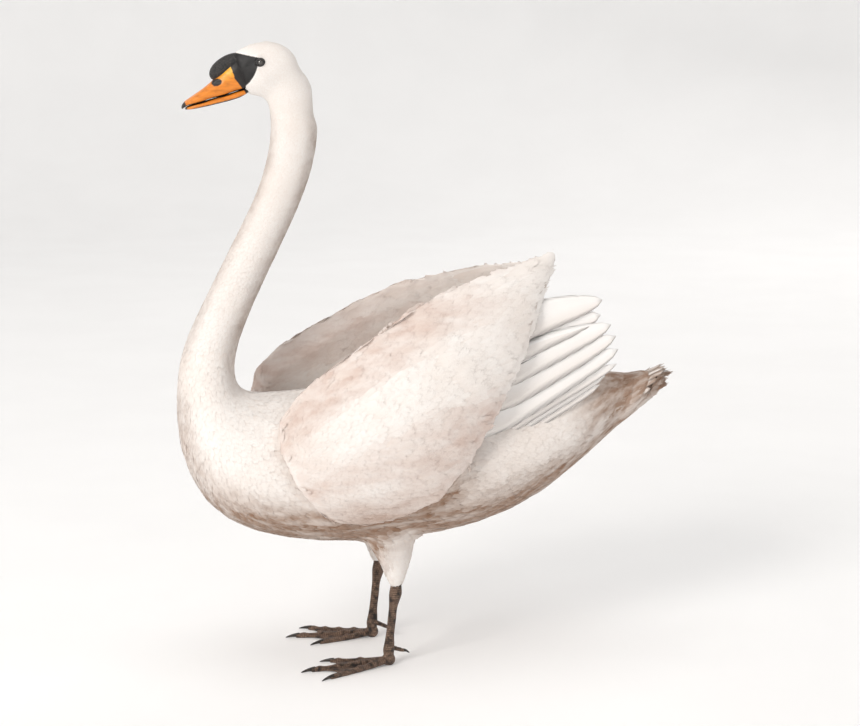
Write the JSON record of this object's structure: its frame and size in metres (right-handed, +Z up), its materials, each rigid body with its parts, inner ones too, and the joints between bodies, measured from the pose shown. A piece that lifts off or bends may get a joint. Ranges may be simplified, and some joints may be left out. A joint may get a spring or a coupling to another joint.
{
  "type": "mute swan, still life-size model",
  "caption": "Life-size standing mute swan with a raised S-shaped neck, half-lifted wings, short wedge tail, knobbed bill and webbed feet.",
  "frame": {"origin": "on the floor under the middle of the bird's length and width", "axes": "+Z up, the bird faces -Y, its left side is +X"},
  "size_m": [0.3476, 0.7932, 0.9779],
  "materials": {
    "plumage": "soft white contour feathers, warm in the shade",
    "flight_feathers": "smooth white vanes with paler shafts",
    "bill_orange": "satin horn, orange with yellow by the base, black edges and nail",
    "bare_skin": "finely wrinkled black skin of the knob and lores",
    "leg_skin": "scaled blackish brown skin with webs",
    "claw_horn": "polished dark horn",
    "eye": "wet, very dark brown"
  },
  "bodies": {
    "root": {"head": "plumage", "neck_upper": "plumage", "neck_middle": "plumage", "neck_lower": "plumage", "trunk": "plumage", "bill_upper": "bill_orange", "bill_lower": "bill_orange", "bill_knob": "bare_skin", "tail": "flight_feathers", "eye_left": "eye", "wing_left_coverts": "plumage", "wing_left_secondaries": "flight_feathers", "wing_left_primaries": "flight_feathers", "thigh_left": "plumage", "tarsus_left": "leg_skin", "foot_left": "leg_skin", "hind_toe_left": "leg_skin", "claw_inner_left": "claw_horn", "claw_middle_left": "claw_horn", "claw_outer_left": "claw_horn", "claw_hind_left": "claw_horn", "eye_right": "eye", "wing_right_coverts": "plumage", "wing_right_secondaries": "flight_feathers", "wing_right_primaries": "flight_feathers", "thigh_right": "plumage", "tarsus_right": "leg_skin", "foot_right": "leg_skin", "hind_toe_right": "leg_skin", "claw_inner_right": "claw_horn", "claw_middle_right": "claw_horn", "claw_outer_right": "claw_horn", "claw_hind_right": "claw_horn"}
  },
  "joints": []
}
